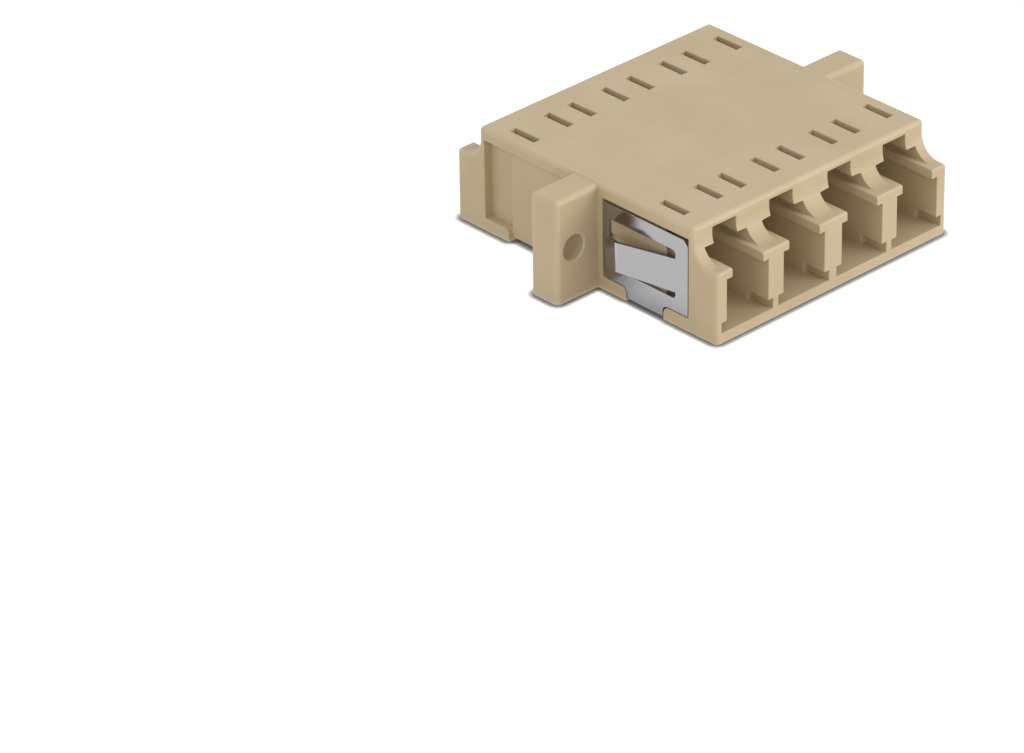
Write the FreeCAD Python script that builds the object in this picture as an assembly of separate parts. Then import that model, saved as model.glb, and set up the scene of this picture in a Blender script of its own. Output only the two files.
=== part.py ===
import FreeCAD, Part
import math
import os

# Four-port panel adapter for small latching fibre plugs.
#
# A one-piece moulded housing with four ports at each end and a screw ear at
# each side, a folded spring clip that saddles one half from below, and eight
# sleeve holders that trap four split alignment sleeves in the centre wall.
#
# Frame: millimetres, X across the ports, Y along the plugs, Z up.
# The origin is the middle of the underside. The clip is on the -Y half.

V = FreeCAD.Vector

# Port spacing
PORT_PITCH = 6.25          # between the two ports of a pair
PAIR_PITCH = 12.75         # between the middles of the two pairs
PORTS_PER_PAIR = 2
PAIRS = 2

# Port section, from the underside up
FLOOR = 0.9                # wall under the ports
PLUG_OPENING = 4.55        # square opening for the plug's body
LEDGE_OPENING = 3.35       # between the two ledges above the plug's body
LEDGE_HEIGHT = 0.8
WING_HEIGHT = 1.05         # groove for the wings of the plug's latch
CHANNEL_WIDTH = 2.55       # channel for the latch's finger tab
CHANNEL_HEIGHT = 1.35
ROOF = 0.6                 # wall over the channel
SIDE_WALL = 1.125          # wall outside the outer ports

# Relief that widens the foot of each port at its mouth
FOOT_RELIEF_WIDTH = 5.65
FOOT_RELIEF_HEIGHT = 0.9
FOOT_RELIEF_DEPTH = 2.3

# Lengths along the plugs
BODY_LENGTH = 29.2
MOUTH_SETBACK = 2.6        # how far the upper part stands back from the end face
MOUTH_RADIUS = 1.85        # hollow between the upper part and the end face
BULKHEAD = 1.0             # wall in the middle that carries the sleeve holders
LATCH_REACH = 9.78         # from the middle to the face that holds a latch
LATCH_POCKET = 2.8         # length of the pocket that the latch drops into
SLOT_OFFSET = 1.84         # from a port's middle to each slot in the roof
SLOT_WIDTH = 0.7

# Screw ears
SCREW_SPACING = 31.0
EAR_REACH = 1.85           # from a screw hole's middle to the ear's outer end
EAR_THICKNESS = 3.0
EAR_DROP = 0.13            # how far the ears stop below the roof
EAR_ROUNDING = 0.44
SCREW_HOLE_R = 1.1
HOLE_ROUNDING = 0.16       # on the edges of the screw holes
BODY_ROUNDING = 0.36       # the edges of the underside stay sharp
NOSE_ROUNDING = 0.2        # on the ledges' front edges

# Recess for the clip, one on each side of each half, measured from the middle
RECESS_START = 1.95
RECESS_END = 11.45
RECESS_TOP = 8.15
LIP_TOP = 1.15             # top of the two lips that are left under the recess
LIP_RADIUS = 0.55
GAP_START = 4.6            # gap between the lips, for the clip's legs
GAP_END = 8.7
DEEP_RECESS = 0.8          # depth of the relief at the recess's outer end
POCKET_END = 4.37          # relief behind the free end of the clip's tongue
POCKET_TOP = 5.15
POCKET_DEPTH = 0.58
POCKET_RADIUS = 0.6

# Clip, folded from one sheet
SHEET = 0.3
SHEET_FIT = 0.03           # clearance between the sheet and the housing
SHEET_INSET = 0.05         # how far the sheet lies below the housing's faces
CLIP_SIDE_GAP = 0.1        # clearance at the ends of the recess
CLIP_TOP_GAP = 0.25        # clearance under the top of the recess
CLIP_CORNER = 0.5          # cut corners at the two ends of each side plate
FOLD_RADIUS = 0.1          # inner radius of the folds
FRAME_TOP = 1.32           # strips of sheet around the window, above
FRAME_BOTTOM = 1.1         # below
FRAME_FRONT = 1.35         # at the mouth's side, where the tongue is rooted
FRAME_BACK = 0.55          # and beside the ear
WINDOW_RADIUS = 0.3
UPPER_SLOT = 0.71          # clearance in the window above the tongue
LOWER_SLOT = 0.55          # and below it, at its root
TONGUE_RUN = 5.15          # from the root to the knee
TONGUE_TAPER = 0.4         # how far its lower edge rises from the root to the knee
TONGUE_ANGLE = 16.5        # degrees that the tongue stands out from the plate
TONGUE_LIP = 1.18          # end that turns back in behind the knee
LIP_ANGLE = 10.0           # degrees that this end leans in towards the plate
KNEE_RADIUS = 0.3

# Split alignment sleeves
SLEEVE_LENGTH = 6.8
SLEEVE_OD = 1.62
FERRULE_BORE = 1.25
SLEEVE_SLIT = 0.35

# Sleeve holders
SLEEVE_FIT = 0.05          # radial clearance around a sleeve
SLEEVE_END_PLAY = 0.1
HOLDER_OD = 2.9
HOLDER_LIP = 0.6           # length of the tapered lip that keeps the sleeve in
HOLDER_THROAT = 1.42       # narrow end of its taper, at the sleeve
HOLDER_ENTRY = 2.1         # wide end, which leads a ferrule in
FLANGE_THICKNESS = 0.6
FLANGE_FIT = 0.1           # clearance around the square flange, each side
SPIGOT_OD = 3.3
SPIGOT_FIT = 0.03          # radial clearance in the bulkhead's hole
SPIGOT_GAP = 0.1           # between the two spigots that meet in the bulkhead

# Levels and places that follow from the sizes above
PLUG_TOP = FLOOR + PLUG_OPENING
LEDGE_TOP = PLUG_TOP + LEDGE_HEIGHT
WING_TOP = LEDGE_TOP + WING_HEIGHT
CHANNEL_TOP = WING_TOP + CHANNEL_HEIGHT
BODY_HEIGHT = CHANNEL_TOP + ROOF
AXIS_Z = FLOOR + PLUG_OPENING / 2
ROW_SPAN = (PAIRS - 1) * PAIR_PITCH + (PORTS_PER_PAIR - 1) * PORT_PITCH
BODY_WIDTH = ROW_SPAN + PLUG_OPENING + 2 * SIDE_WALL
EAR_SPAN = SCREW_SPACING + 2 * EAR_REACH
EAR_HEIGHT = BODY_HEIGHT - EAR_DROP
HALF_WIDTH = BODY_WIDTH / 2
HALF_LENGTH = BODY_LENGTH / 2
UPPER_HALF = HALF_LENGTH - MOUTH_SETBACK
PORT_INNER = BULKHEAD / 2
RECESS_DEPTH = SHEET + SHEET_FIT + SHEET_INSET
PLATE_FRONT = -RECESS_END + CLIP_SIDE_GAP
PLATE_BACK = -RECESS_START - CLIP_SIDE_GAP
PLATE_TOP = RECESS_TOP - CLIP_TOP_GAP
PLATE_BOTTOM = LIP_TOP + CLIP_SIDE_GAP
LEG_FRONT = -GAP_END + CLIP_SIDE_GAP
LEG_BACK = -GAP_START - CLIP_SIDE_GAP
WINDOW_FRONT = PLATE_FRONT + FRAME_FRONT
WINDOW_BACK = PLATE_BACK - FRAME_BACK
WINDOW_TOP = PLATE_TOP - FRAME_TOP
WINDOW_BOTTOM = PLATE_BOTTOM + FRAME_BOTTOM
TONGUE_TOP = WINDOW_TOP - UPPER_SLOT
TONGUE_BOTTOM = WINDOW_BOTTOM + LOWER_SLOT
HOUSING_CORNER = FOLD_RADIUS - SHEET_FIT
CUT_OVER = 1.0             # how far a cutting solid runs past what it cuts
SAME = 1e-6                # places nearer than this count as one
ROUNDING_SHARE = 0.95      # the most of a wall that a rounding takes up
HALVES = (-1, 1)
SIDES = (-1, 1)


def port_centres():
    """X of each port, from left to right."""
    centres = []
    for pair in range(PAIRS):
        middle = (pair - (PAIRS - 1) / 2) * PAIR_PITCH
        for port in range(PORTS_PER_PAIR):
            centres.append(middle + (port - (PORTS_PER_PAIR - 1) / 2) * PORT_PITCH)
    return centres


def box(x0, x1, y0, y1, z0, z1):
    """Box between two corners, given in any order."""
    low = V(min(x0, x1), min(y0, y1), min(z0, z1))
    return Part.makeBox(abs(x1 - x0), abs(y1 - y0), abs(z1 - z0), low)


def centred_box(x, width, y0, y1, z0, z1):
    """Box centred across X."""
    return box(x - width / 2, x + width / 2, y0, y1, z0, z1)


def rod(x, z, radius, y0, y1):
    """Cylinder along Y."""
    return Part.makeCylinder(radius, abs(y1 - y0), V(x, min(y0, y1), z), V(0, 1, 0))


def spans(edge, axis):
    """Length of an edge's bounding box along X, Y or Z, given as 0, 1 or 2."""
    extent = edge.BoundBox
    return (extent.XLength, extent.YLength, extent.ZLength)[axis]


def rounded_along(solid, radius, axis, wanted=None):
    """Fillet the straight edges that run along one axis and meet the test."""
    edges = []
    for edge in solid.Edges:
        along = abs(spans(edge, axis) - edge.Length) < SAME
        if along and (wanted is None or wanted(edge.CenterOfMass)):
            edges.append(edge)
    return solid.makeFillet(radius, edges)


def mirrored(solid, side, normal):
    """The solid itself for side -1, its mirror image for side 1."""
    if side < 0:
        return solid
    return solid.mirror(V(0, 0, 0), normal)


def on_each_side(solid):
    """A solid on the -X side and its mirror image."""
    return [mirrored(solid, side, V(1, 0, 0)) for side in SIDES]


def end_profile():
    """Side outline of the housing's body, with the hollowed mouth at both ends."""
    room = min(MOUTH_SETBACK, BODY_HEIGHT - LEDGE_TOP)
    radius = min(MOUTH_RADIUS, ROUNDING_SHARE * room)
    hollow_y = UPPER_HALF + radius
    hollow_z = LEDGE_TOP + radius
    turn = radius * math.sqrt(0.5)

    def at(y, z):
        return V(-HALF_WIDTH, y, z)

    edges = [
        Part.makeLine(at(-HALF_LENGTH, 0), at(-HALF_LENGTH, LEDGE_TOP)),
        Part.makeLine(at(-HALF_LENGTH, LEDGE_TOP), at(-hollow_y, LEDGE_TOP)),
        Part.Arc(
            at(-hollow_y, LEDGE_TOP),
            at(turn - hollow_y, hollow_z - turn),
            at(-UPPER_HALF, hollow_z),
        ).toShape(),
        Part.makeLine(at(-UPPER_HALF, hollow_z), at(-UPPER_HALF, BODY_HEIGHT)),
        Part.makeLine(at(-UPPER_HALF, BODY_HEIGHT), at(UPPER_HALF, BODY_HEIGHT)),
        Part.makeLine(at(UPPER_HALF, BODY_HEIGHT), at(UPPER_HALF, hollow_z)),
        Part.Arc(
            at(UPPER_HALF, hollow_z),
            at(hollow_y - turn, hollow_z - turn),
            at(hollow_y, LEDGE_TOP),
        ).toShape(),
        Part.makeLine(at(hollow_y, LEDGE_TOP), at(HALF_LENGTH, LEDGE_TOP)),
        Part.makeLine(at(HALF_LENGTH, LEDGE_TOP), at(HALF_LENGTH, 0)),
        Part.makeLine(at(HALF_LENGTH, 0), at(-HALF_LENGTH, 0)),
    ]
    return Part.Face(Part.Wire(edges))


def body_block():
    """The housing's body before it is hollowed, with its edges rounded except underneath."""
    block = end_profile().extrude(V(BODY_WIDTH, 0, 0))
    noses = []
    for edge in block.Edges:
        centre = edge.CenterOfMass
        at_end = abs(abs(centre.y) - HALF_LENGTH) < SAME
        if at_end and centre.z > SAME and abs(centre.x) < SAME:
            noses.append(edge)
    block = block.makeFillet(NOSE_ROUNDING, noses)
    sharp = []
    for edge in block.Edges:
        centre = edge.CenterOfMass
        on_side = abs(abs(centre.x) - HALF_WIDTH) < SAME
        on_top = centre.z > BODY_HEIGHT - SAME
        if centre.z > SAME and (on_side or on_top):
            sharp.append(edge)
    return block.makeFillet(BODY_ROUNDING, sharp)


def ears():
    """Both screw ears as one bar through the body, with rounded edges and the screw holes."""
    half = EAR_THICKNESS / 2
    bar = box(-EAR_SPAN / 2, EAR_SPAN / 2, -half, half, 0, EAR_HEIGHT)
    outer = []
    for edge in bar.Edges:
        centre = edge.CenterOfMass
        at_end = abs(abs(centre.x) - EAR_SPAN / 2) < SAME
        long_top = abs(spans(edge, 0) - EAR_SPAN) < SAME and centre.z > EAR_HEIGHT / 2
        if centre.z > SAME and (at_end or long_top):
            outer.append(edge)
    bar = bar.makeFillet(EAR_ROUNDING, outer)
    holes = []
    for side in SIDES:
        x = side * SCREW_SPACING / 2
        holes.append(rod(x, EAR_HEIGHT / 2, SCREW_HOLE_R, -half - CUT_OVER, half + CUT_OVER))
    bar = bar.cut(holes)
    round_trip = 2 * math.pi * SCREW_HOLE_R
    rims = [edge for edge in bar.Edges if abs(edge.Length - round_trip) < SAME]
    return bar.makeFillet(HOLE_ROUNDING, rims)


def port_cutter(x, half):
    """Hollow of one port, from the bulkhead out through the mouth."""
    inner = half * PORT_INNER
    outer = half * (HALF_LENGTH + CUT_OVER)
    latch = half * LATCH_REACH
    pocket_width = 2 * SLOT_OFFSET + SLOT_WIDTH
    pocket_inner = half * (LATCH_REACH - LATCH_POCKET)
    relief_inner = half * (HALF_LENGTH - FOOT_RELIEF_DEPTH)
    cuts = [
        centred_box(x, PLUG_OPENING, inner, outer, FLOOR, PLUG_TOP),
        centred_box(x, LEDGE_OPENING, inner, outer, PLUG_TOP, LEDGE_TOP),
        centred_box(x, PLUG_OPENING, inner, outer, LEDGE_TOP, WING_TOP),
        centred_box(x, CHANNEL_WIDTH, inner, outer, WING_TOP, CHANNEL_TOP),
        centred_box(x, pocket_width, pocket_inner, latch, WING_TOP, CHANNEL_TOP),
        centred_box(x, FOOT_RELIEF_WIDTH, relief_inner, outer, FLOOR, FLOOR + FOOT_RELIEF_HEIGHT),
    ]
    for side in SIDES:
        slot_x = x + side * SLOT_OFFSET
        above = BODY_HEIGHT + CUT_OVER
        cuts.append(centred_box(slot_x, SLOT_WIDTH, pocket_inner, latch, WING_TOP, above))
    return cuts[0].multiFuse(cuts[1:])


def side_recess():
    """Cutter for the clip's recess on the -X side of the -Y half."""
    outside = -HALF_WIDTH - CUT_OVER
    floor_x = -HALF_WIDTH + RECESS_DEPTH
    deep_x = -HALF_WIDTH + DEEP_RECESS
    pocket_x = -HALF_WIDTH + POCKET_DEPTH
    plate = box(outside, floor_x, -RECESS_END, -RECESS_START, LIP_TOP, RECESS_TOP)
    leg = box(outside, floor_x, -GAP_END, -GAP_START, -CUT_OVER, LIP_TOP)
    relief = box(outside, deep_x, -RECESS_END, -GAP_END, LIP_TOP, RECESS_TOP)
    pocket = box(outside, pocket_x, -POCKET_END, -RECESS_START, LIP_TOP, POCKET_TOP)

    def upper_outer(centre):
        return centre.z > POCKET_TOP - SAME and centre.y < -POCKET_END + SAME

    def on_lips(centre):
        in_gap = -GAP_END - SAME < centre.y < -GAP_START + SAME
        return in_gap and abs(centre.z - LIP_TOP) < SAME

    pocket = rounded_along(pocket, POCKET_RADIUS, 0, upper_outer)
    cutter = rounded_along(plate.fuse(leg).removeSplitter(), LIP_RADIUS, 0, on_lips)
    return cutter.multiFuse([relief, pocket])


def underside_channel():
    """Cutter for the channel under the -Y half, which leaves rounded corners in the clip's folds."""
    reach = HALF_WIDTH + CUT_OVER
    core_side = HALF_WIDTH - RECESS_DEPTH
    core_front = -GAP_END - CUT_OVER
    core_back = -GAP_START + CUT_OVER
    channel = box(-reach, reach, -GAP_END, -GAP_START, -CUT_OVER, LIP_TOP)
    core = box(-core_side, core_side, core_front, core_back, RECESS_DEPTH, LIP_TOP + CUT_OVER)

    def lower(centre):
        return centre.z < RECESS_DEPTH + SAME

    return channel.cut(rounded_along(core, HOUSING_CORNER, 1, lower))


def housing():
    """The moulded housing in one piece."""
    solid = body_block().fuse(ears()).removeSplitter()
    cutters = []
    for half in HALVES:
        for x in port_centres():
            cutters.append(port_cutter(x, half))
        for recess in on_each_side(side_recess()):
            cutters.append(mirrored(recess, half, V(0, 1, 0)))
        cutters.append(mirrored(underside_channel(), half, V(0, 1, 0)))
    for x in port_centres():
        cutters.append(rod(x, AXIS_Z, SPIGOT_OD / 2 + SPIGOT_FIT, -BULKHEAD, BULKHEAD))
    return solid.cut(cutters)


def side_plate_outline():
    """Flat outline of a side plate with its leg, in the plane of X = 0."""
    leg_bottom = SHEET_INSET + SHEET + FOLD_RADIUS
    corners = [
        (LEG_FRONT, leg_bottom),
        (LEG_FRONT, PLATE_BOTTOM),
        (PLATE_FRONT, PLATE_BOTTOM),
        (PLATE_FRONT, PLATE_TOP - CLIP_CORNER),
        (PLATE_FRONT + CLIP_CORNER, PLATE_TOP),
        (PLATE_BACK, PLATE_TOP),
        (PLATE_BACK, PLATE_BOTTOM + CLIP_CORNER),
        (PLATE_BACK - CLIP_CORNER, PLATE_BOTTOM),
        (LEG_BACK, PLATE_BOTTOM),
        (LEG_BACK, leg_bottom),
    ]
    points = [V(0, y, z) for y, z in corners]
    return Part.Face(Part.makePolygon(points + points[:1]))


def side_plate():
    """Side plate on the -X side, with its window and without its tongue."""
    outer_x = -HALF_WIDTH + SHEET_INSET
    plate = side_plate_outline().extrude(V(SHEET, 0, 0))
    plate.translate(V(outer_x, 0, 0))
    inner_corners = [V(0, LEG_FRONT, PLATE_BOTTOM), V(0, LEG_BACK, PLATE_BOTTOM)]

    def beside_leg(centre):
        flat = V(0, centre.y, centre.z)
        return min(flat.distanceToPoint(corner) for corner in inner_corners) < SAME

    plate = rounded_along(plate, LIP_RADIUS, 0, beside_leg)
    window = box(
        outer_x - CUT_OVER,
        outer_x + CUT_OVER,
        WINDOW_FRONT,
        WINDOW_BACK,
        WINDOW_BOTTOM,
        WINDOW_TOP,
    )
    return plate.cut(rounded_along(window, WINDOW_RADIUS, 0))


def taper_cutter():
    """Wedge that lets the tongue's lower edge rise from the root to the knee and on."""
    run = TONGUE_RUN + TONGUE_LIP + CUT_OVER
    rise = TONGUE_TAPER * run / TONGUE_RUN
    root = V(-HALF_WIDTH - TONGUE_RUN, WINDOW_FRONT, TONGUE_BOTTOM)
    corners = [root, root + V(0, run, 0), root + V(0, run, rise)]
    wedge = Part.Face(Part.makePolygon(corners + corners[:1]))
    return wedge.extrude(V(TONGUE_RUN + CUT_OVER, 0, 0))


def tongue():
    """Spring tongue of the -X side plate: out from its root, then back in at a knee."""
    lean = math.radians(TONGUE_ANGLE)
    back = -math.radians(LIP_ANGLE)
    root_radius = SHEET + FOLD_RADIUS
    knee_radius = KNEE_RADIUS + SHEET

    def along(angle):
        return V(-math.sin(angle), math.cos(angle), 0)

    def outward(angle):
        return V(-math.cos(angle), -math.sin(angle), 0)

    def bend(centre, radius, start, end):
        turns = (start, (start + end) / 2, end)
        return Part.Arc(*[centre + outward(turn) * radius for turn in turns]).toShape()

    root = V(-HALF_WIDTH + SHEET_INSET, WINDOW_FRONT, TONGUE_BOTTOM)
    root_centre = root + outward(0) * root_radius
    run_start = root_centre - outward(lean) * root_radius
    knee = run_start + along(lean) * (TONGUE_RUN - root_radius * lean)
    knee_centre = knee - outward(lean) * knee_radius
    lip_start = knee_centre + outward(back) * knee_radius
    tip = lip_start + along(back) * TONGUE_LIP
    thick_lean = outward(lean) * SHEET
    thick_back = outward(back) * SHEET
    section = Part.Wire(
        [
            bend(root_centre, -root_radius, 0, lean),
            Part.makeLine(run_start, knee),
            bend(knee_centre, knee_radius, lean, back),
            Part.makeLine(lip_start, tip),
            Part.makeLine(tip, tip - thick_back),
            Part.makeLine(tip - thick_back, lip_start - thick_back),
            bend(knee_centre, KNEE_RADIUS, back, lean),
            Part.makeLine(knee - thick_lean, run_start - thick_lean),
            bend(root_centre, -root_radius - SHEET, lean, 0),
            Part.makeLine(root - outward(0) * SHEET, root),
        ]
    )
    straight = Part.Face(section).extrude(V(0, 0, TONGUE_TOP - TONGUE_BOTTOM))
    return straight.cut(taper_cutter())


def bridge():
    """Strip under the body that joins the two legs, folded up at both ends."""
    outer_x = HALF_WIDTH - SHEET_INSET
    fold = SHEET + FOLD_RADIUS
    flat_end = outer_x - fold
    fold_z = SHEET_INSET + fold
    strip = box(-flat_end, flat_end, LEG_FRONT, LEG_BACK, SHEET_INSET, SHEET_INSET + SHEET)
    folds = []
    for side in SIDES:
        outer = rod(side * flat_end, fold_z, fold, LEG_FRONT, LEG_BACK)
        inner = rod(side * flat_end, fold_z, FOLD_RADIUS, LEG_FRONT, LEG_BACK)
        quarter = box(side * flat_end, side * outer_x, LEG_FRONT, LEG_BACK, SHEET_INSET, fold_z)
        folds.append(outer.cut(inner).common(quarter))
    return strip.multiFuse(folds)


def mounting_clip():
    """Clip as one folded sheet: two side plates, two tongues and the bridge."""
    pieces = on_each_side(side_plate()) + on_each_side(tongue())
    return bridge().multiFuse(pieces).removeSplitter()


def sleeve_holder(x):
    """Flanged tube on the -Y side that seats on the bulkhead."""
    shoulder = SLEEVE_LENGTH / 2 + SLEEVE_END_PLAY
    mouth = shoulder + HOLDER_LIP
    flange_size = PLUG_OPENING - 2 * FLANGE_FIT
    flange_outer = -PORT_INNER - FLANGE_THICKNESS
    spigot_end = -SPIGOT_GAP / 2
    half_flange = flange_size / 2
    flange = centred_box(
        x, flange_size, flange_outer, -PORT_INNER, AXIS_Z - half_flange, AXIS_Z + half_flange
    )
    tube = rod(x, AXIS_Z, HOLDER_OD / 2, -mouth, -PORT_INNER)
    spigot = rod(x, AXIS_Z, SPIGOT_OD / 2, -PORT_INNER, spigot_end)
    sleeve_bore = rod(x, AXIS_Z, SLEEVE_OD / 2 + SLEEVE_FIT, -shoulder, CUT_OVER)
    taper = Part.makeCone(
        HOLDER_ENTRY / 2, HOLDER_THROAT / 2, HOLDER_LIP, V(x, -mouth, AXIS_Z), V(0, 1, 0)
    )
    return flange.multiFuse([tube, spigot]).cut([sleeve_bore, taper])


def split_sleeve(x):
    """Slit tube that lines up the two ferrules of one port."""
    half = SLEEVE_LENGTH / 2
    tube = rod(x, AXIS_Z, SLEEVE_OD / 2, -half, half)
    bore = rod(x, AXIS_Z, FERRULE_BORE / 2, -half - CUT_OVER, half + CUT_OVER)
    slit = centred_box(
        x, SLEEVE_SLIT, -half - CUT_OVER, half + CUT_OVER, AXIS_Z, AXIS_Z + SLEEVE_OD
    )
    return tube.cut([bore, slit])


def export(name, shape):
    """Write one piece, which is one closed solid, to its own file."""
    solids = shape.Solids
    if len(solids) != 1 or not solids[0].isValid():
        raise ValueError("%s is not one closed solid" % name)
    solids[0].exportStep("parts/%s.step" % name)


def main():
    os.makedirs("parts", exist_ok=True)
    export("housing", housing())
    export("mounting_clip", mounting_clip())
    for number, x in enumerate(port_centres(), start=1):
        front = sleeve_holder(x)
        export("sleeve_holder_front_%d" % number, front)
        export("sleeve_holder_rear_%d" % number, mirrored(front, 1, V(0, 1, 0)))
        export("split_sleeve_%d" % number, split_sleeve(x))


main()
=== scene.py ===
import math

import bmesh
import bpy
from bpy.props import FloatProperty, FloatVectorProperty, IntProperty, PointerProperty
from mathutils import Euler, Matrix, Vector


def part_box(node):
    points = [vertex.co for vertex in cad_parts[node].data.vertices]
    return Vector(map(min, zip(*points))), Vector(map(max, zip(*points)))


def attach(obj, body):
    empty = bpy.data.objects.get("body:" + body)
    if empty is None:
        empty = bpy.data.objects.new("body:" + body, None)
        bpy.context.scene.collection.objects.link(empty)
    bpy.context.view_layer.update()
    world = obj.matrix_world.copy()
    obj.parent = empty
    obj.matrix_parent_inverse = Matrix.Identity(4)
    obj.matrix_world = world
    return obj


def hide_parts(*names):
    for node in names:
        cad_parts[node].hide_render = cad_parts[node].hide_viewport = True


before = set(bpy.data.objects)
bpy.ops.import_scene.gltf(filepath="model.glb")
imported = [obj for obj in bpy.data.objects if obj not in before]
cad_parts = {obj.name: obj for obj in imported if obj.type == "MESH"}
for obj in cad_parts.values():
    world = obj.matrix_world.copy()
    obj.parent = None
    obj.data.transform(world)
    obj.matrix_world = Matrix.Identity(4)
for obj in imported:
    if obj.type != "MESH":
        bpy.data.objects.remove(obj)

bl_info = {
    "name": "Four port fibre adapter",
    "version": (1, 0, 0),
    "blender": (4, 5, 0),
    "location": "View3D > Sidebar > Adapter",
    "description": "Dresses the moulded housing, the spring clip and the sleeves, and sets the stage",
    "category": "Object",
}

MM = 0.001
BODY = "root"
WHITE = (1.0, 1.0, 1.0, 1.0)
MERGE_DISTANCE = 0.001 * MM
FLAT_ANGLE = math.radians(0.5)       # faces that meet at less are one flat face
ROUNDED_ANGLE = math.radians(32)     # outer edges sharper than this are rounded
SMOOTH_ANGLE = math.radians(44)      # edges sharper than this are shaded sharp
# The edge layer carries where the materials paint a lighter edge highlight.
EDGE_LAYER = "edge"                  # how tightly the surface turns, for the edges' tone
CUT_LAYER = "cut"                    # the sheet's sheared faces
BROAD_FACE = 0.12 * MM               # area over outline above which a face has no edge tone
CUT_TURN = 0.9                       # least Y of a sheared face's normal in the folds
SHEET_TURN = 0.3                     # most X of a sheared face's normal on the plates
FLAT_FACE_WEIGHT = 80                # how strongly large faces keep their own shading
FLOOR_DROP = 0.02 * MM               # how far the floor lies below the part
SENSOR_WIDTH = 36.0                  # millimetres
NEAREST_SEEN = 0.01                  # nearest that the camera sees, in metres
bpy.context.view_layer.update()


def length(name, description, millimetres):
    """Property for a length, with its default given in millimetres."""
    return FloatProperty(
        name=name,
        description=description,
        default=millimetres * MM,
        min=0.0,
        unit="LENGTH",
        subtype="DISTANCE",
    )


def colour(name, description, value):
    """Property for a linear colour."""
    return FloatVectorProperty(
        name=name, description=description, default=value, min=0.0, max=1.0, size=3, subtype="COLOR"
    )


def share(name, description, value):
    """Property for a share from 0 to 1."""
    return FloatProperty(
        name=name, description=description, default=value, min=0.0, max=1.0, subtype="FACTOR"
    )


def power(name, description, watts):
    """Property for the power of a lamp."""
    return FloatProperty(name=name, description=description, default=watts, min=0.0, unit="POWER")


def amount(name, description, value):
    """Property for a plain number that isn't negative."""
    return FloatProperty(name=name, description=description, default=value, min=0.0)


class AdapterSizes(bpy.types.PropertyGroup):
    """Sizes of the rounded edges and of the surface textures."""

    housing_edge: length("Housing edge", "Width of the rounding along the moulded edges", 0.08)
    holder_edge: length("Holder edge", "Width of the rounding on the sleeve holders", 0.04)
    clip_edge: length("Clip edge", "Width of the rolled-over edges of the cut sheet", 0.035)
    clip_fold: length("Clip fold", "Height at which the clip's folds end and its side plates begin", 0.5)
    sleeve_edge: length("Sleeve edge", "Radius of the ground ends of the sleeves", 0.05)
    sleeve_slit: length("Sleeve slit", "Width of the slit along each sleeve", 0.35)
    sleeve_wall: length("Sleeve wall", "Wall of the ceramic sleeves", 0.185)
    # Roundings this tight get the painted edge highlight.
    highlight_radius: length("Worn radius", "Roundings as tight as this show the lighter edge", 0.3)
    edge_steps: IntProperty(name="Edge steps", description="Facets across a rounded edge", default=2, min=1)
    grain_size: length("Grain size", "Size of the moulded surface's grain", 0.12)
    grain_depth: length("Grain depth", "Depth of the moulded surface's grain", 0.006)
    cloud_size: length("Cloud size", "Size of the soft tone changes in the plastic", 6.0)
    line_width: length("Line width", "Width of the sheet's rolling lines and the sleeves' rings", 0.03)
    line_length: length("Line length", "Length of the sheet's rolling lines", 1.6)
    line_depth: length("Line depth", "Depth of the sheet's rolling lines", 0.0006)
    sheet_cloud: length("Sheet cloud size", "Size of the soft gloss changes in the sheet", 2.2)
    ring_depth: length("Ring depth", "Depth of the grinding rings on the sleeves", 0.0005)
    sleeve_cloud: length("Sleeve cloud size", "Size of the soft tone changes in the sleeves", 1.5)


class AdapterFinish(bpy.types.PropertyGroup):
    """Colours and gloss of the materials."""

    beige: colour("Beige", "Moulded plastic where it is lightest", (0.565, 0.45, 0.286))
    beige_deep: colour("Deep beige", "Moulded plastic in its soft darker clouds", (0.53, 0.415, 0.256))
    # Painted highlight: the lighter tone laid along the rounded edges.
    beige_edge: colour("Beige edge", "Moulded plastic along its rounded edges", (0.74, 0.62, 0.45))
    steel: colour("Steel", "Rolled spring steel", (0.43, 0.43, 0.436))
    steel_dark: colour("Dark steel", "Darker rolling lines", (0.37, 0.37, 0.376))
    # Painted highlight laid along the sheet's rounded edges.
    steel_edge: colour("Steel edge", "Rolled-over edges of the sheet", (0.56, 0.56, 0.565))
    # Partly the duller sheared steel, partly painted shade that makes the gaps along the plate's edges read
    # dark.
    steel_cut: colour("Cut steel", "Sheared faces of the sheet", (0.14, 0.135, 0.13))
    ceramic: colour("Ceramic", "Polished sleeve", (0.83, 0.82, 0.78))
    ceramic_deep: colour("Deep ceramic", "Sleeve's darker tone", (0.76, 0.74, 0.69))
    # Strength of the painted edge highlight on the plastic.
    plastic_wear: share("Plastic edge tone", "How much lighter the moulded edges are", 0.2)
    # Strength of the painted edge highlight on the sheet.
    steel_wear: share("Steel edge tone", "How much lighter the sheet's edges are", 0.6)
    plastic_roughness: share("Plastic roughness", "Roughness of the moulded surface", 0.5)
    steel_roughness: share("Steel roughness", "Roughness of the sheet", 0.16)
    cut_roughness: share("Cut roughness", "Roughness of the sheet's sheared faces", 0.45)
    ceramic_roughness: share("Ceramic roughness", "Roughness of the polished sleeve", 0.18)


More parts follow.
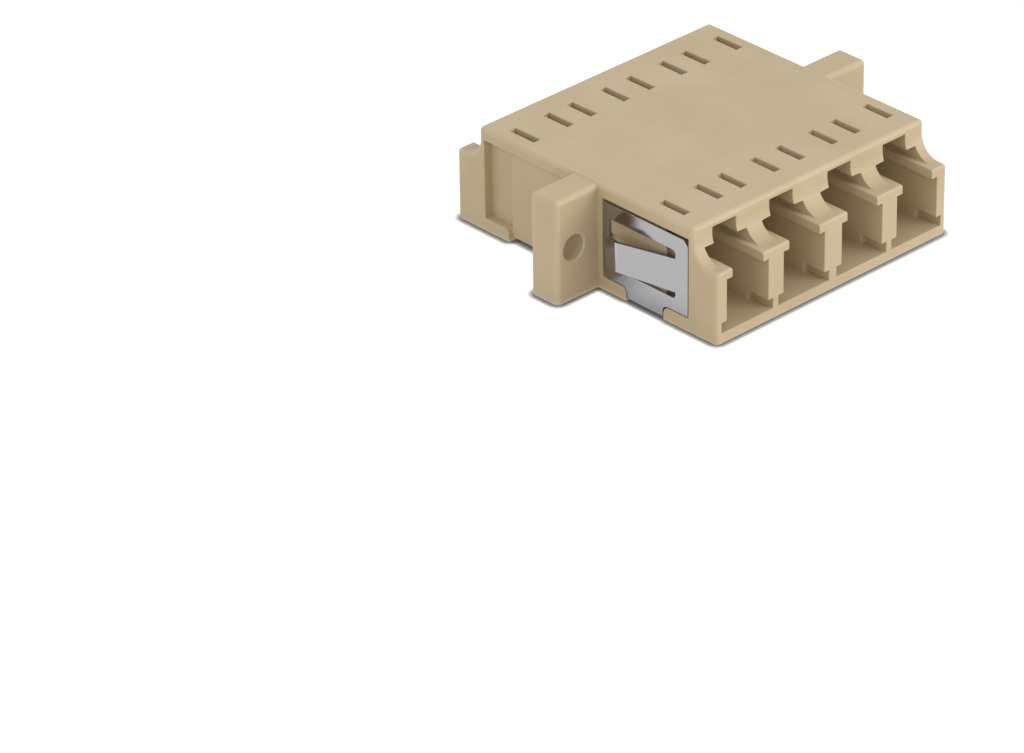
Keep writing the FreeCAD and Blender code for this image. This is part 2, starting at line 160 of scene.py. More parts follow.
class AdapterStage(bpy.types.PropertyGroup):
    """Camera, lamps and floor."""

    camera_place: FloatVectorProperty(
        name="Camera place",
        description="Where the camera stands",
        default=(-0.294849, -0.293554, 0.228390),
        size=3,
        unit="LENGTH",
        subtype="TRANSLATION",
    )
    camera_turn: FloatVectorProperty(
        name="Camera turn",
        description="How the camera is turned",
        default=(math.radians(59.78175), math.radians(0.72521), math.radians(-43.44320)),
        size=3,
        unit="ROTATION",
        subtype="EULER",
    )
    lens: FloatProperty(
        name="Lens", description="Focal length on a 36 mm sensor", default=208.6, min=1.0, unit="CAMERA"
    )
    sky: amount("Sky", "Strength of the even light from all sides", 0.85)
    front_power: power("Front lamp", "Power of the lamp before the mouths", 2.6)
    low_power: power("Low lamp", "Power of the low lamp before the mouths", 1.1)
    side_power: power("Side lamp", "Power of the low lamp at the ear's side", 0.4)
    floor_glow: amount("Floor glow", "How much the floor is lifted towards white", 0.95)
    floor_bounce: colour("Floor bounce", "Light that the floor gives back to the adapter", (0.82, 0.8, 0.74))
    floor_shade: share("Floor shade", "Share of the real light that the camera sees on the floor", 0.2)
    shadow_reach: length("Shadow reach", "How far the shadow at the foot reaches", 0.6)
    shadow_depth: amount("Shadow depth", "Exponent that deepens the shadow at the foot", 5.0)
    gloss_shadow: length("Mirrored shadow", "How far that shadow reaches as the clip mirrors it", 3.2)
    foot_reach: length("Foot reach", "Up to this height the floor lets light through to the underside", 0.5)
    gloss_foot: length("Mirrored foot reach", "The same height for rays that mirror the floor", 0.2)
    floor_size: length("Floor size", "Side of the square floor", 3000.0)


def new_tree(name, kind, inputs, outputs):
    """Node group with named sockets; returns the tree, its input node and its output node."""
    tree = bpy.data.node_groups.new(name, kind)
    for label, socket_kind, default in inputs:
        socket = tree.interface.new_socket(label, in_out="INPUT", socket_type=socket_kind)
        if default is not None:
            socket.default_value = default
    for label, socket_kind in outputs:
        tree.interface.new_socket(label, in_out="OUTPUT", socket_type=socket_kind)
    entry = tree.nodes.new("NodeGroupInput")
    exit_node = tree.nodes.new("NodeGroupOutput")
    return tree, entry, exit_node


def add(tree, kind, **settings):
    """Node with its settings."""
    node = tree.nodes.new(kind)
    for key, value in settings.items():
        setattr(node, key, value)
    return node


def cloud_group():
    """Soft mask from 0 to 1 whose clouds have a given size."""
    tree, entry, out = new_tree(
        "Cloud mask",
        "ShaderNodeTree",
        [
            ("Vector", "NodeSocketVector", None),
            ("Size", "NodeSocketFloat", 6.0 * MM),
            ("Low", "NodeSocketFloat", 0.3),
            ("High", "NodeSocketFloat", 0.7),
        ],
        [("Mask", "NodeSocketFloat")],
    )
    rate = add(tree, "ShaderNodeMath", operation="DIVIDE")
    rate.inputs[0].default_value = 1.0
    noise = add(tree, "ShaderNodeTexNoise", noise_dimensions="3D")
    noise.inputs["Detail"].default_value = 3.0
    spread = add(tree, "ShaderNodeMapRange", interpolation_type="SMOOTHSTEP")
    tree.links.new(entry.outputs["Size"], rate.inputs[1])
    tree.links.new(entry.outputs["Vector"], noise.inputs["Vector"])
    tree.links.new(rate.outputs[0], noise.inputs["Scale"])
    tree.links.new(noise.outputs["Fac"], spread.inputs["Value"])
    tree.links.new(entry.outputs["Low"], spread.inputs["From Min"])
    tree.links.new(entry.outputs["High"], spread.inputs["From Max"])
    tree.links.new(spread.outputs["Result"], out.inputs["Mask"])
    return tree


def grain_group():
    """Fine relief, which a stretch turns into the lines of a rolled or ground surface."""
    tree, entry, out = new_tree(
        "Fine grain",
        "ShaderNodeTree",
        [
            ("Vector", "NodeSocketVector", None),
            ("Size", "NodeSocketVector", (0.12 * MM, 0.12 * MM, 0.12 * MM)),
            ("Detail", "NodeSocketFloat", 4.0),
        ],
        [("Height", "NodeSocketFloat")],
    )
    scaled = add(tree, "ShaderNodeVectorMath", operation="DIVIDE")
    noise = add(tree, "ShaderNodeTexNoise", noise_dimensions="3D")
    noise.inputs["Scale"].default_value = 1.0
    tree.links.new(entry.outputs["Vector"], scaled.inputs[0])
    tree.links.new(entry.outputs["Size"], scaled.inputs[1])
    tree.links.new(scaled.outputs[0], noise.inputs["Vector"])
    tree.links.new(entry.outputs["Detail"], noise.inputs["Detail"])
    tree.links.new(noise.outputs["Fac"], out.inputs["Height"])
    return tree


def edge_highlight_group():
    """Mask of the rounded outer edges, broken up a little by noise, where the materials paint a lighter edge
    highlight.
    """
    tree, entry, out = new_tree(
        "Edge wear",
        "ShaderNodeTree",
        [
            ("Vector", "NodeSocketVector", None),
            ("Size", "NodeSocketFloat", 0.5 * MM),
            ("Amount", "NodeSocketFloat", 0.5),
        ],
        [("Mask", "NodeSocketFloat")],
    )
    edge = add(tree, "ShaderNodeAttribute", attribute_name=EDGE_LAYER)
    ramp = add(tree, "ShaderNodeMapRange", interpolation_type="SMOOTHSTEP")
    ramp.inputs["From Min"].default_value = 0.2
    rate = add(tree, "ShaderNodeMath", operation="DIVIDE")
    rate.inputs[0].default_value = 1.0
    noise = add(tree, "ShaderNodeTexNoise", noise_dimensions="3D")
    spread = add(tree, "ShaderNodeMapRange")
    spread.inputs["From Min"].default_value = 0.3
    spread.inputs["From Max"].default_value = 0.7
    spread.inputs["To Min"].default_value = 0.75
    patchy = add(tree, "ShaderNodeMath", operation="MULTIPLY")
    scaled = add(tree, "ShaderNodeMath", operation="MULTIPLY")
    tree.links.new(edge.outputs["Fac"], ramp.inputs["Value"])
    tree.links.new(entry.outputs["Size"], rate.inputs[1])
    tree.links.new(entry.outputs["Vector"], noise.inputs["Vector"])
    tree.links.new(rate.outputs[0], noise.inputs["Scale"])
    tree.links.new(noise.outputs["Fac"], spread.inputs["Value"])
    tree.links.new(ramp.outputs["Result"], patchy.inputs[0])
    tree.links.new(spread.outputs["Result"], patchy.inputs[1])
    tree.links.new(patchy.outputs[0], scaled.inputs[0])
    tree.links.new(entry.outputs["Amount"], scaled.inputs[1])
    tree.links.new(scaled.outputs[0], out.inputs["Mask"])
    return tree


class Finish:
    """One material with its shader, which the groups feed."""

    def __init__(self, name):
        self.material = bpy.data.materials.new(name)
        self.material.use_nodes = True
        self.tree = self.material.node_tree
        self.shader = self.tree.nodes["Principled BSDF"]
        self.coordinates = add(self.tree, "ShaderNodeTexCoord")

    def group(self, tree, **values):
        """Places a shared group on the object's own coordinates."""
        node = add(self.tree, "ShaderNodeGroup", node_tree=tree)
        for label, value in values.items():
            node.inputs[label].default_value = value
        self.tree.links.new(self.coordinates.outputs["Object"], node.inputs["Vector"])
        return node

    def two_tones(self, mask, dark, light):
        """Base colour between two tones."""
        mix = add(self.tree, "ShaderNodeMix", data_type="RGBA")
        mix.inputs["A"].default_value = (*dark, 1.0)
        mix.inputs["B"].default_value = (*light, 1.0)
        self.tree.links.new(mask, mix.inputs["Factor"])
        self.tree.links.new(mix.outputs["Result"], self.shader.inputs["Base Color"])

    def edge_tone(self, mask, tone):
        """Lays a tone over the base colour where the mask is high."""
        below = self.shader.inputs["Base Color"].links[0].from_socket
        mix = add(self.tree, "ShaderNodeMix", data_type="RGBA")
        mix.inputs["B"].default_value = (*tone, 1.0)
        self.tree.links.new(mask, mix.inputs["Factor"])
        self.tree.links.new(below, mix.inputs["A"])
        self.tree.links.new(mix.outputs["Result"], self.shader.inputs["Base Color"])

    def roughness(self, mask, middle, swing):
        """Roughness that varies by the mask about its middle."""
        spread = add(self.tree, "ShaderNodeMapRange")
        spread.inputs["To Min"].default_value = middle - swing
        spread.inputs["To Max"].default_value = middle + swing
        self.tree.links.new(mask, spread.inputs["Value"])
        self.tree.links.new(spread.outputs["Result"], self.shader.inputs["Roughness"])

    def dull(self, mask, value):
        """Takes the roughness to a value where the mask is high."""
        below = self.shader.inputs["Roughness"].links[0].from_socket
        mix = add(self.tree, "ShaderNodeMix", data_type="FLOAT")
        mix.inputs["B"].default_value = value
        self.tree.links.new(mask, mix.inputs["Factor"])
        self.tree.links.new(below, mix.inputs["A"])
        self.tree.links.new(mix.outputs["Result"], self.shader.inputs["Roughness"])

    def relief(self, height, depth, strength):
        """Bump of a given depth in metres."""
        bump = add(self.tree, "ShaderNodeBump")
        bump.inputs["Strength"].default_value = strength
        bump.inputs["Distance"].default_value = depth
        self.tree.links.new(height, bump.inputs["Height"])
        self.tree.links.new(bump.outputs["Normal"], self.shader.inputs["Normal"])


def moulded_plastic(name, groups, sizes, finish):
    """Matt beige plastic with a fine moulded grain, soft clouds and a painted highlight along its rounded
    edges.
    """
    made = Finish(name)
    clouds = made.group(groups["cloud"], Size=sizes.cloud_size)
    grain = made.group(groups["grain"], Size=(sizes.grain_size,) * 3)
    made.two_tones(clouds.outputs["Mask"], finish.beige_deep, finish.beige)
    made.roughness(grain.outputs["Height"], finish.plastic_roughness, swing=0.1)
    made.relief(grain.outputs["Height"], sizes.grain_depth, strength=0.7)
    # Painted highlight: a lighter tone along the rounded edges.
    edges = made.group(groups["edge"], Amount=finish.plastic_wear)
    made.edge_tone(edges.outputs["Mask"], finish.beige_edge)
    made.shader.inputs["Specular IOR Level"].default_value = 0.42
    return made.material


def rolled_steel(groups, sizes, finish):
    """Bright spring steel with fine lines along the sheet's rolling direction, a painted highlight along its
    rounded edges, and sheared faces that are duller and painted dark as shade.
    """
    made = Finish("Rolled spring steel")
    line = (sizes.line_width, sizes.line_length, sizes.line_width)
    lines = made.group(groups["grain"], Size=line, Detail=2.0)
    clouds = made.group(groups["cloud"], Size=sizes.sheet_cloud)
    made.two_tones(lines.outputs["Height"], finish.steel_dark, finish.steel)
    made.roughness(clouds.outputs["Mask"], finish.steel_roughness, swing=0.03)
    made.relief(lines.outputs["Height"], sizes.line_depth, strength=0.5)
    # Sheared faces: duller steel, and a dark tone that is partly painted shade in the gaps along the plate.
    cut = add(made.tree, "ShaderNodeAttribute", attribute_name=CUT_LAYER)
    made.edge_tone(cut.outputs["Fac"], finish.steel_cut)
    made.dull(cut.outputs["Fac"], finish.cut_roughness)
    # Painted highlight: a lighter tone along the sheet's rounded edges.
    edges = made.group(groups["edge"], Amount=finish.steel_wear)
    made.edge_tone(edges.outputs["Mask"], finish.steel_edge)
    made.shader.inputs["Metallic"].default_value = 1.0
    return made.material


def polished_ceramic(groups, sizes, finish):
    """White ceramic with the faint rings of grinding."""
    made = Finish("Polished ceramic")
    clouds = made.group(groups["cloud"], Size=sizes.sleeve_cloud)
    ring = (sizes.line_length, sizes.line_width, sizes.line_length)
    rings = made.group(groups["grain"], Size=ring, Detail=2.0)
    made.two_tones(clouds.outputs["Mask"], finish.ceramic_deep, finish.ceramic)
    made.roughness(rings.outputs["Height"], finish.ceramic_roughness, swing=0.05)
    made.relief(rings.outputs["Height"], sizes.ring_depth, strength=0.4)
    made.shader.inputs["Specular IOR Level"].default_value = 0.7
    return made.material


def materials(context):
    """Materials by name, built once."""
    kept = {m.name: m for m in bpy.data.materials}
    if "Rolled spring steel" in kept:
        return kept
    sizes = context.scene.adapter_sizes
    finish = context.scene.adapter_finish
    groups = {"cloud": cloud_group(), "grain": grain_group(), "edge": edge_highlight_group()}
    moulded_plastic("Moulded housing plastic", groups, sizes, finish)
    moulded_plastic("Moulded holder plastic", groups, sizes, finish)
    rolled_steel(groups, sizes, finish)
    polished_ceramic(groups, sizes, finish)
    return {m.name: m for m in bpy.data.materials}


def merged_copy(node, name):
    """Mesh of a CAD node with its loose triangles joined into whole flat faces."""
    shape = bmesh.new()
    shape.from_mesh(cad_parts[node].data)
    bmesh.ops.remove_doubles(shape, verts=shape.verts, dist=MERGE_DISTANCE)
    bmesh.ops.dissolve_limit(shape, angle_limit=FLAT_ANGLE, verts=shape.verts[:], edges=shape.edges[:])
    mesh = bpy.data.meshes.new(name)
    shape.to_mesh(mesh)
    shape.free()
    return mesh


def round_edges(mesh, width, steps):
    """Rounds every sharp outer edge of a mesh by the same width."""
    shape = bmesh.new()
    shape.from_mesh(mesh)
    sharp = [edge for edge in shape.edges if edge.calc_face_angle_signed(0.0) > ROUNDED_ANGLE]
    bmesh.ops.bevel(
        shape,
        geom=sharp,
        offset=width,
        offset_type="OFFSET",
        segments=steps,
        profile=0.5,
        affect="EDGES",
        clamp_overlap=False,
    )
    shape.to_mesh(mesh)
    shape.free()


def mark_edges(mesh, radius):
    """Stores at each point how tightly the surface turns outwards there: 1 at the given radius or less. The
    materials paint their edge highlight by it.
    """
    shape = bmesh.new()
    shape.from_mesh(mesh)
    layer = shape.verts.layers.float.new(EDGE_LAYER)
    for edge in shape.edges:
        angle = edge.calc_face_angle_signed(0.0)
        if angle <= 0.0:
            continue
        breadth = sum(face.calc_area() for face in edge.link_faces) / (2 * edge.calc_length())
        turn = min(1.0, angle * radius / breadth)
        for vert in edge.verts:
            vert[layer] = max(vert[layer], turn)
    for face in shape.faces:
        if face.calc_area() > BROAD_FACE * face.calc_perimeter():
            for vert in face.verts:
                vert[layer] = 0.0
    shape.to_mesh(mesh)
    shape.free()


def mark_cuts(mesh, fold):
    """Marks the sheared faces of the folded sheet: those that face along it and not out of it. The steel
    gives them a dark tone that is partly duller steel and partly painted shade.
    """
    shape = bmesh.new()
    shape.from_mesh(mesh)
    layer = shape.faces.layers.float.new(CUT_LAYER)
    for face in shape.faces:
        in_fold = face.calc_center_median().z < fold
        sheared = abs(face.normal.y) > CUT_TURN if in_fold else abs(face.normal.x) < SHEET_TURN
        face[layer] = float(sheared)
    shape.to_mesh(mesh)
    shape.free()


def shade(piece):
    """Smooth shading in which the large flat faces stay flat and sharp corners stay sharp."""
    piece.data.shade_smooth()
    shape = bmesh.new()
    shape.from_mesh(piece.data)
    for edge in shape.edges:
        edge.smooth = edge.calc_face_angle(0.0) <= SMOOTH_ANGLE
    shape.to_mesh(piece.data)
    shape.free()
    weighted = piece.modifiers.new("Flat faces stay flat", "WEIGHTED_NORMAL")
    weighted.keep_sharp = True
    weighted.weight = FLAT_FACE_WEIGHT


def place(name, mesh):
    """Object at the origin with its place in its mesh."""
    piece = bpy.data.objects.new(name, mesh)
    bpy.context.scene.collection.objects.link(piece)
    return piece


def dress(piece, material, slot, *nodes):
    """Gives a piece its material and lets it stand for its CAD nodes."""
    piece.data.materials.clear()
    piece.data.materials.append(material)
    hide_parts(*nodes)
    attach(piece, BODY)


def port_row_tree():
    """Repeats the shape of the first port's piece at every port."""
    tree, entry, out = new_tree(
        "Port row",
        "GeometryNodeTree",
        [
            ("Geometry", "NodeSocketGeometry", None),
            ("Ports per pair", "NodeSocketInt", 2),
            ("Pairs", "NodeSocketInt", 2),
            ("Port pitch", "NodeSocketFloat", 6.25 * MM),
            ("Pair pitch", "NodeSocketFloat", 12.75 * MM),
            ("Material", "NodeSocketMaterial", None),
        ],
        [("Geometry", "NodeSocketGeometry")],
    )
    lines = {}
    for label, pitch, count in (("pair", "Pair pitch", "Pairs"), ("port", "Port pitch", "Ports per pair")):
        step = add(tree, "ShaderNodeCombineXYZ")
        line = add(tree, "GeometryNodeMeshLine", mode="OFFSET")
        tree.links.new(entry.outputs[pitch], step.inputs["X"])
        tree.links.new(entry.outputs[count], line.inputs["Count"])
        tree.links.new(step.outputs["Vector"], line.inputs["Offset"])
        lines[label] = line
    grid = add(tree, "GeometryNodeInstanceOnPoints")
    grid_points = add(tree, "GeometryNodeRealizeInstances")
    copies = add(tree, "GeometryNodeInstanceOnPoints")
    real = add(tree, "GeometryNodeRealizeInstances")
    paint = add(tree, "GeometryNodeSetMaterial")
    tree.links.new(lines["pair"].outputs["Mesh"], grid.inputs["Points"])
    tree.links.new(lines["port"].outputs["Mesh"], grid.inputs["Instance"])
    tree.links.new(grid.outputs["Instances"], grid_points.inputs["Geometry"])
    tree.links.new(grid_points.outputs["Geometry"], copies.inputs["Points"])
    tree.links.new(entry.outputs["Geometry"], copies.inputs["Instance"])
    tree.links.new(copies.outputs["Instances"], real.inputs["Geometry"])
    tree.links.new(real.outputs["Geometry"], paint.inputs["Geometry"])
    tree.links.new(entry.outputs["Material"], paint.inputs["Material"])
    tree.links.new(paint.outputs["Geometry"], out.inputs["Geometry"])
    return tree


def split_sleeve_tree():
    """Slit tube along Y: a rounded wall section swept round an open ring."""
    tree, entry, out = new_tree(
        "Split sleeve",
        "GeometryNodeTree",
        [
            ("Geometry", "NodeSocketGeometry", None),
            ("Place", "NodeSocketVector", (0.0, 0.0, 0.0)),
            ("Length", "NodeSocketFloat", 6.8 * MM),
            ("Outer radius", "NodeSocketFloat", 0.81 * MM),
            ("Wall", "NodeSocketFloat", 0.185 * MM),
            ("Slit", "NodeSocketFloat", 0.35 * MM),
            ("Edge", "NodeSocketFloat", 0.05 * MM),
            ("Steps round", "NodeSocketInt", 64),
            ("Material", "NodeSocketMaterial", None),
        ],
        [("Geometry", "NodeSocketGeometry")],
    )
    half_wall = add(tree, "ShaderNodeMath", operation="MULTIPLY")
    half_wall.inputs[1].default_value = 0.5
    ring_radius = add(tree, "ShaderNodeMath", operation="SUBTRACT")
    gap = add(tree, "ShaderNodeMath", operation="DIVIDE")
    start = add(tree, "ShaderNodeMath", operation="MULTIPLY_ADD")
    start.inputs[1].default_value = 0.5
    start.inputs[2].default_value = math.pi / 2
    sweep = add(tree, "ShaderNodeMath", operation="SUBTRACT")
    sweep.inputs[0].default_value = 2 * math.pi
    ring = add(tree, "GeometryNodeCurveArc", mode="RADIUS")
    section = add(tree, "GeometryNodeCurvePrimitiveQuadrilateral", mode="RECTANGLE")
    rounded = add(tree, "GeometryNodeFilletCurve", mode="POLY")
    rounded.inputs["Count"].default_value = 4
    sleeve = add(tree, "GeometryNodeCurveToMesh")
    sleeve.inputs["Fill Caps"].default_value = True
    stand = add(tree, "GeometryNodeTransform")
    stand.inputs["Rotation"].default_value = (math.pi / 2, 0.0, 0.0)
    real = add(tree, "GeometryNodeRealizeInstances")
    paint = add(tree, "GeometryNodeSetMaterial")
    pairs = [
        (entry.outputs["Wall"], half_wall.inputs[0]),
        (entry.outputs["Outer radius"], ring_radius.inputs[0]),
        (half_wall.outputs[0], ring_radius.inputs[1]),
        (entry.outputs["Slit"], gap.inputs[0]),
        (ring_radius.outputs[0], gap.inputs[1]),
        (gap.outputs[0], start.inputs[0]),
        (gap.outputs[0], sweep.inputs[1]),
        (entry.outputs["Steps round"], ring.inputs["Resolution"]),
        (ring_radius.outputs[0], ring.inputs["Radius"]),
        (start.outputs[0], ring.inputs["Start Angle"]),
        (sweep.outputs[0], ring.inputs["Sweep Angle"]),
        (entry.outputs["Wall"], section.inputs["Width"]),
        (entry.outputs["Length"], section.inputs["Height"]),
        (section.outputs["Curve"], rounded.inputs["Curve"]),
        (entry.outputs["Edge"], rounded.inputs["Radius"]),
        (ring.outputs["Curve"], sleeve.inputs["Curve"]),
        (rounded.outputs["Curve"], sleeve.inputs["Profile Curve"]),
        (sleeve.outputs["Mesh"], stand.inputs["Geometry"]),
        (entry.outputs["Place"], stand.inputs["Translation"]),
        (stand.outputs["Geometry"], real.inputs["Geometry"]),
        (real.outputs["Geometry"], paint.inputs["Geometry"]),
        (entry.outputs["Material"], paint.inputs["Material"]),
        (paint.outputs["Geometry"], out.inputs["Geometry"]),
    ]
    for source, target in pairs:
        tree.links.new(source, target)
    return tree


def apply_tree(piece, tree, **values):
    """Runs a node tree on a piece with named inputs and keeps the result as its plain mesh."""
    modifier = piece.modifiers.new(tree.name, "NODES")
    modifier.node_group = tree
    for item in tree.interface.items_tree:
        label = item.name.replace(" ", "_").lower()
        if item.in_out == "INPUT" and label in values:
            modifier[item.identifier] = values[label]
    graph = bpy.context.evaluated_depsgraph_get()
    mesh = bpy.data.meshes.new_from_object(piece.evaluated_get(graph), depsgraph=graph)
    piece.modifiers.remove(modifier)
    mesh.name = piece.name
    piece.data = mesh


def port_nodes(stem):
    """Names of a repeated node, in the order of the ports."""
    names = [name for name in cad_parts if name.startswith(stem)]
    return sorted(names, key=lambda name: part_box(name)[0].x)


def port_pitches(names):
    """Spacing within a pair and between the pairs, read from the frame."""
    left = [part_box(name)[0].x for name in names]
    return left[1] - left[0], left[2] - left[0]


def repeat_over_ports(piece, names, material):
    """Repeats the first port's piece at the other ports."""
    port_pitch, pair_pitch = port_pitches(names)
    tree = bpy.data.node_groups.get("Port row") or port_row_tree()
    apply_tree(piece, tree, port_pitch=port_pitch, pair_pitch=pair_pitch, material=material)


class ADAPTER_OT_housing(bpy.types.Operator):
    """Round the moulded edges of the housing and give it its plastic"""

    bl_idname = "adapter.housing"
    bl_label = "Dress the housing"

    def execute(self, context):
        sizes = context.scene.adapter_sizes
        mesh = merged_copy("housing", "moulded_housing")
        round_edges(mesh, sizes.housing_edge, sizes.edge_steps)
        mark_edges(mesh, sizes.highlight_radius)
        piece = place("moulded_housing", mesh)
        shade(piece)
        dress(piece, materials(context)["Moulded housing plastic"], "housing", "housing")
        return {"FINISHED"}


class ADAPTER_OT_clip(bpy.types.Operator):
    """Break the edges of the folded sheet and give it its steel"""

    bl_idname = "adapter.clip"
    bl_label = "Dress the spring clip"

    def execute(self, context):
        sizes = context.scene.adapter_sizes
        mesh = merged_copy("mounting_clip", "spring_clip")
        round_edges(mesh, sizes.clip_edge, sizes.edge_steps)
        mark_edges(mesh, sizes.highlight_radius)
        mark_cuts(mesh, sizes.clip_fold)
        piece = place("spring_clip", mesh)
        shade(piece)
        dress(piece, materials(context)["Rolled spring steel"], "clip", "mounting_clip")
        return {"FINISHED"}


class ADAPTER_OT_holders(bpy.types.Operator):
    """Round the sleeve holders and repeat them over the ports"""

    bl_idname = "adapter.holders"
    bl_label = "Dress the sleeve holders"

    def execute(self, context):
        sizes = context.scene.adapter_sizes
        material = materials(context)["Moulded holder plastic"]
        for end in ("front", "rear"):
            names = port_nodes("sleeve_holder_" + end)
            mesh = merged_copy(names[0], "sleeve_holders_" + end)
            round_edges(mesh, sizes.holder_edge, sizes.edge_steps)
            mark_edges(mesh, sizes.highlight_radius)
            piece = place(mesh.name, mesh)
            repeat_over_ports(piece, names, material)
            shade(piece)
            dress(piece, material, "holder", *names)
        return {"FINISHED"}


class ADAPTER_OT_sleeves(bpy.types.Operator):
    """Build one slit ceramic sleeve and repeat it over the ports"""

    bl_idname = "adapter.sleeves"
    bl_label = "Build the split sleeves"

    def execute(self, context):
        sizes = context.scene.adapter_sizes
        material = materials(context)["Polished ceramic"]
        names = port_nodes("split_sleeve")
        low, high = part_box(names[0])
        piece = place("split_sleeves", bpy.data.meshes.new("split_sleeves"))
        apply_tree(
            piece,
            split_sleeve_tree(),
            place=(low + high) / 2,
            length=high.y - low.y,
            outer_radius=(high.x - low.x) / 2,
            wall=sizes.sleeve_wall,
            slit=sizes.sleeve_slit,
            edge=sizes.sleeve_edge,
            material=material,
        )
        repeat_over_ports(piece, names, material)
        shade(piece)
        dress(piece, material, "sleeve", *names)
        return {"FINISHED"}


def seen_directly(tree):
    """Mask of the rays that show the backdrop as it is: camera, glossy and transmission rays."""
    path = add(tree, "ShaderNodeLightPath")
    first = add(tree, "ShaderNodeMath", operation="MAXIMUM")
    second = add(tree, "ShaderNodeMath", operation="MAXIMUM")
    tree.links.new(path.outputs["Is Camera Ray"], first.inputs[0])
    tree.links.new(path.outputs["Is Glossy Ray"], first.inputs[1])
    tree.links.new(first.outputs[0], second.inputs[0])
    tree.links.new(path.outputs["Is Transmission Ray"], second.inputs[1])
    return second.outputs[0]


def set_world(context, sky):
    """White all round where it is seen, and a soft even light elsewhere."""
    world = bpy.data.worlds.new("Soft studio")
    world.use_nodes = True
    tree = world.node_tree
    light = tree.nodes["Background"]
    light.inputs["Color"].default_value = WHITE
    light.inputs["Strength"].default_value = sky
    backdrop = add(tree, "ShaderNodeBackground")
    backdrop.inputs["Strength"].default_value = 1.0
    choice = add(tree, "ShaderNodeMixShader")
    tree.links.new(seen_directly(tree), choice.inputs["Fac"])
    tree.links.new(light.outputs[0], choice.inputs[1])
    tree.links.new(backdrop.outputs[0], choice.inputs[2])
    tree.links.new(choice.outputs[0], tree.nodes["World Output"].inputs["Surface"])
    context.scene.world = world


def floor_material(settings):
    """Floor that looks white, keeps the shadow at the adapter's foot, and is clear when seen from below."""
    made = Finish("White floor")
    tree = made.tree
    made.shader.inputs["Base Color"].default_value = (*settings.floor_bounce, 1.0)
    made.shader.inputs["Roughness"].default_value = 1.0
    made.shader.inputs["Specular IOR Level"].default_value = 0.0
    shaded = add(tree, "ShaderNodeBsdfDiffuse")
    shaded.inputs["Color"].default_value = (settings.floor_shade,) * 3 + (1.0,)
    open_sky = add(tree, "ShaderNodeAmbientOcclusion", samples=8)
    open_sky.inputs["Distance"].default_value = settings.shadow_reach
    deepen = add(tree, "ShaderNodeMath", operation="POWER")
    deepen.inputs[1].default_value = settings.shadow_depth
    path = add(tree, "ShaderNodeLightPath")
    wide_sky = add(tree, "ShaderNodeAmbientOcclusion", samples=8)
    wide_sky.inputs["Distance"].default_value = settings.gloss_shadow
    mirrored = add(tree, "ShaderNodeMix", data_type="FLOAT")
    lift = add(tree, "ShaderNodeMath", operation="MULTIPLY")
    lift.inputs[1].default_value = settings.floor_glow
    white = add(tree, "ShaderNodeEmission")
    seen = add(tree, "ShaderNodeAddShader")
    choice = add(tree, "ShaderNodeMixShader")
    side = add(tree, "ShaderNodeNewGeometry")
    reach = add(tree, "ShaderNodeMath", operation="MULTIPLY_ADD")
    reach.inputs[1].default_value = settings.gloss_foot - settings.foot_reach
    reach.inputs[2].default_value = settings.foot_reach
    close = add(tree, "ShaderNodeMath", operation="LESS_THAN")
    clear = add(tree, "ShaderNodeMath", operation="MAXIMUM")
    nothing = add(tree, "ShaderNodeBsdfTransparent")
    nothing.inputs["Color"].default_value = WHITE
    floor = add(tree, "ShaderNodeMixShader")
    tree.links.new(open_sky.outputs["AO"], deepen.inputs[0])
    tree.links.new(path.outputs["Is Glossy Ray"], mirrored.inputs["Factor"])
    tree.links.new(deepen.outputs[0], mirrored.inputs["A"])
    tree.links.new(wide_sky.outputs["AO"], mirrored.inputs["B"])
    tree.links.new(mirrored.outputs["Result"], lift.inputs[0])
    tree.links.new(lift.outputs[0], white.inputs["Strength"])
    tree.links.new(shaded.outputs[0], seen.inputs[0])
    tree.links.new(white.outputs[0], seen.inputs[1])
    tree.links.new(seen_directly(tree), choice.inputs["Fac"])
    tree.links.new(made.shader.outputs[0], choice.inputs[1])
    tree.links.new(seen.outputs[0], choice.inputs[2])
    tree.links.new(path.outputs["Is Glossy Ray"], reach.inputs[0])
    tree.links.new(path.outputs["Ray Length"], close.inputs[0])
    tree.links.new(reach.outputs[0], close.inputs[1])
    tree.links.new(side.outputs["Backfacing"], clear.inputs[0])
    tree.links.new(close.outputs[0], clear.inputs[1])
    tree.links.new(clear.outputs[0], floor.inputs["Fac"])
    tree.links.new(choice.outputs[0], floor.inputs[1])
    tree.links.new(nothing.outputs[0], floor.inputs[2])
    tree.links.new(floor.outputs[0], tree.nodes["Material Output"].inputs["Surface"])
    made.material.cycles.emission_sampling = "NONE"
    return made.material


def add_floor(settings):
    """Square floor under the adapter."""
    half = settings.floor_size / 2
    mesh = bpy.data.meshes.new("floor")
    corners = [(-half, -half), (half, -half), (half, half), (-half, half)]
    mesh.from_pydata([(*corner, -FLOOR_DROP) for corner in corners], [], [(0, 1, 2, 3)])
    floor = place("floor", mesh)
    mesh.materials.append(floor_material(settings))


def add_lamp(name, power, side, azimuth, elevation):
    """Square lamp one metre away that faces the adapter; azimuth 0 is before the mouths, in degrees."""
    data = bpy.data.lights.new(name, "AREA")
    data.energy = power
    data.size = side
    lamp = bpy.data.objects.new(name, data)
    bpy.context.scene.collection.objects.link(lamp)
    turn = math.radians(azimuth)
    rise = math.radians(elevation)
    where = Vector((math.sin(turn) * math.cos(rise), -math.cos(turn) * math.cos(rise), math.sin(rise)))
    lamp.location = where
    lamp.rotation_euler = where.to_track_quat("Z", "Y").to_euler()


def add_camera(context, settings):
    """Camera at the photograph's viewing angle."""
    data = bpy.data.cameras.new("camera")
    data.sensor_width = SENSOR_WIDTH
    data.lens = settings.lens
    data.clip_start = NEAREST_SEEN
    camera = bpy.data.objects.new("camera", data)
    context.scene.collection.objects.link(camera)
    camera.location = settings.camera_place
    camera.rotation_euler = Euler(settings.camera_turn)
    context.scene.camera = camera


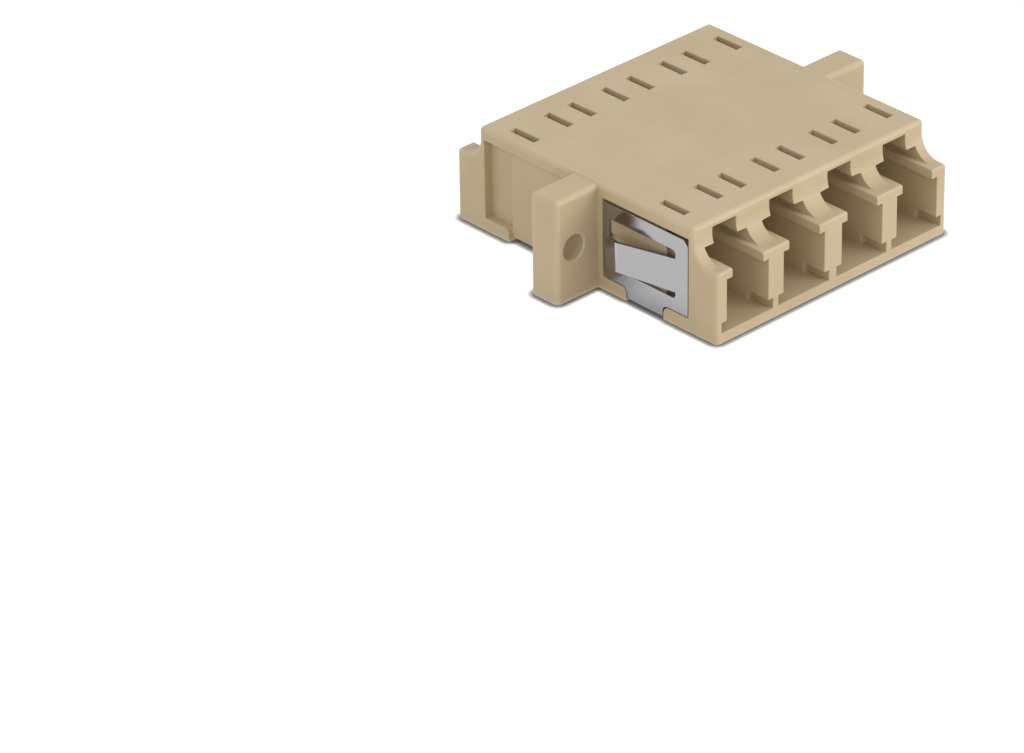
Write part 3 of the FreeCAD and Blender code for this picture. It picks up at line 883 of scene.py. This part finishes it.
class ADAPTER_OT_stage(bpy.types.Operator):
    """Set the camera, the lamps, the white backdrop and the floor"""

    bl_idname = "adapter.stage"
    bl_label = "Set the stage"

    def execute(self, context):
        settings = context.scene.adapter_stage
        add_camera(context, settings)
        set_world(context, settings.sky)
        add_floor(settings)
        add_lamp("front_lamp", settings.front_power, side=0.5, azimuth=30, elevation=25)
        add_lamp("low_lamp", settings.low_power, side=0.4, azimuth=28, elevation=8)
        add_lamp("side_lamp", settings.side_power, side=0.4, azimuth=-82, elevation=10)
        context.scene.view_settings.view_transform = "Standard"
        return {"FINISHED"}


class ADAPTER_PT_build(bpy.types.Panel):
    """Sizes, finishes and steps of the adapter"""

    bl_idname = "ADAPTER_PT_build"
    bl_label = "Fibre adapter"
    bl_space_type = "VIEW_3D"
    bl_region_type = "UI"
    bl_category = "Adapter"

    def draw(self, context):
        for group in ("adapter_sizes", "adapter_finish", "adapter_stage"):
            box = self.layout.box()
            settings = getattr(context.scene, group)
            for key in settings.bl_rna.properties.keys():
                if key not in ("rna_type", "name"):
                    box.prop(settings, key)
        for step in STEPS:
            self.layout.operator(step.bl_idname)


GROUPS = {"adapter_sizes": AdapterSizes, "adapter_finish": AdapterFinish, "adapter_stage": AdapterStage}
STEPS = (ADAPTER_OT_stage, ADAPTER_OT_housing, ADAPTER_OT_clip, ADAPTER_OT_holders, ADAPTER_OT_sleeves)


def register():
    for kind in (*GROUPS.values(), *STEPS, ADAPTER_PT_build):
        bpy.utils.register_class(kind)
    for name, kind in GROUPS.items():
        setattr(bpy.types.Scene, name, PointerProperty(type=kind))


def unregister():
    for name in GROUPS:
        delattr(bpy.types.Scene, name)
    for kind in (ADAPTER_PT_build, *reversed(STEPS), *reversed(GROUPS.values())):
        bpy.utils.unregister_class(kind)


def main():
    register()
    bpy.ops.adapter.stage()
    bpy.ops.adapter.housing()
    bpy.ops.adapter.clip()
    bpy.ops.adapter.holders()
    bpy.ops.adapter.sleeves()


if __name__ == "__main__":
    main()
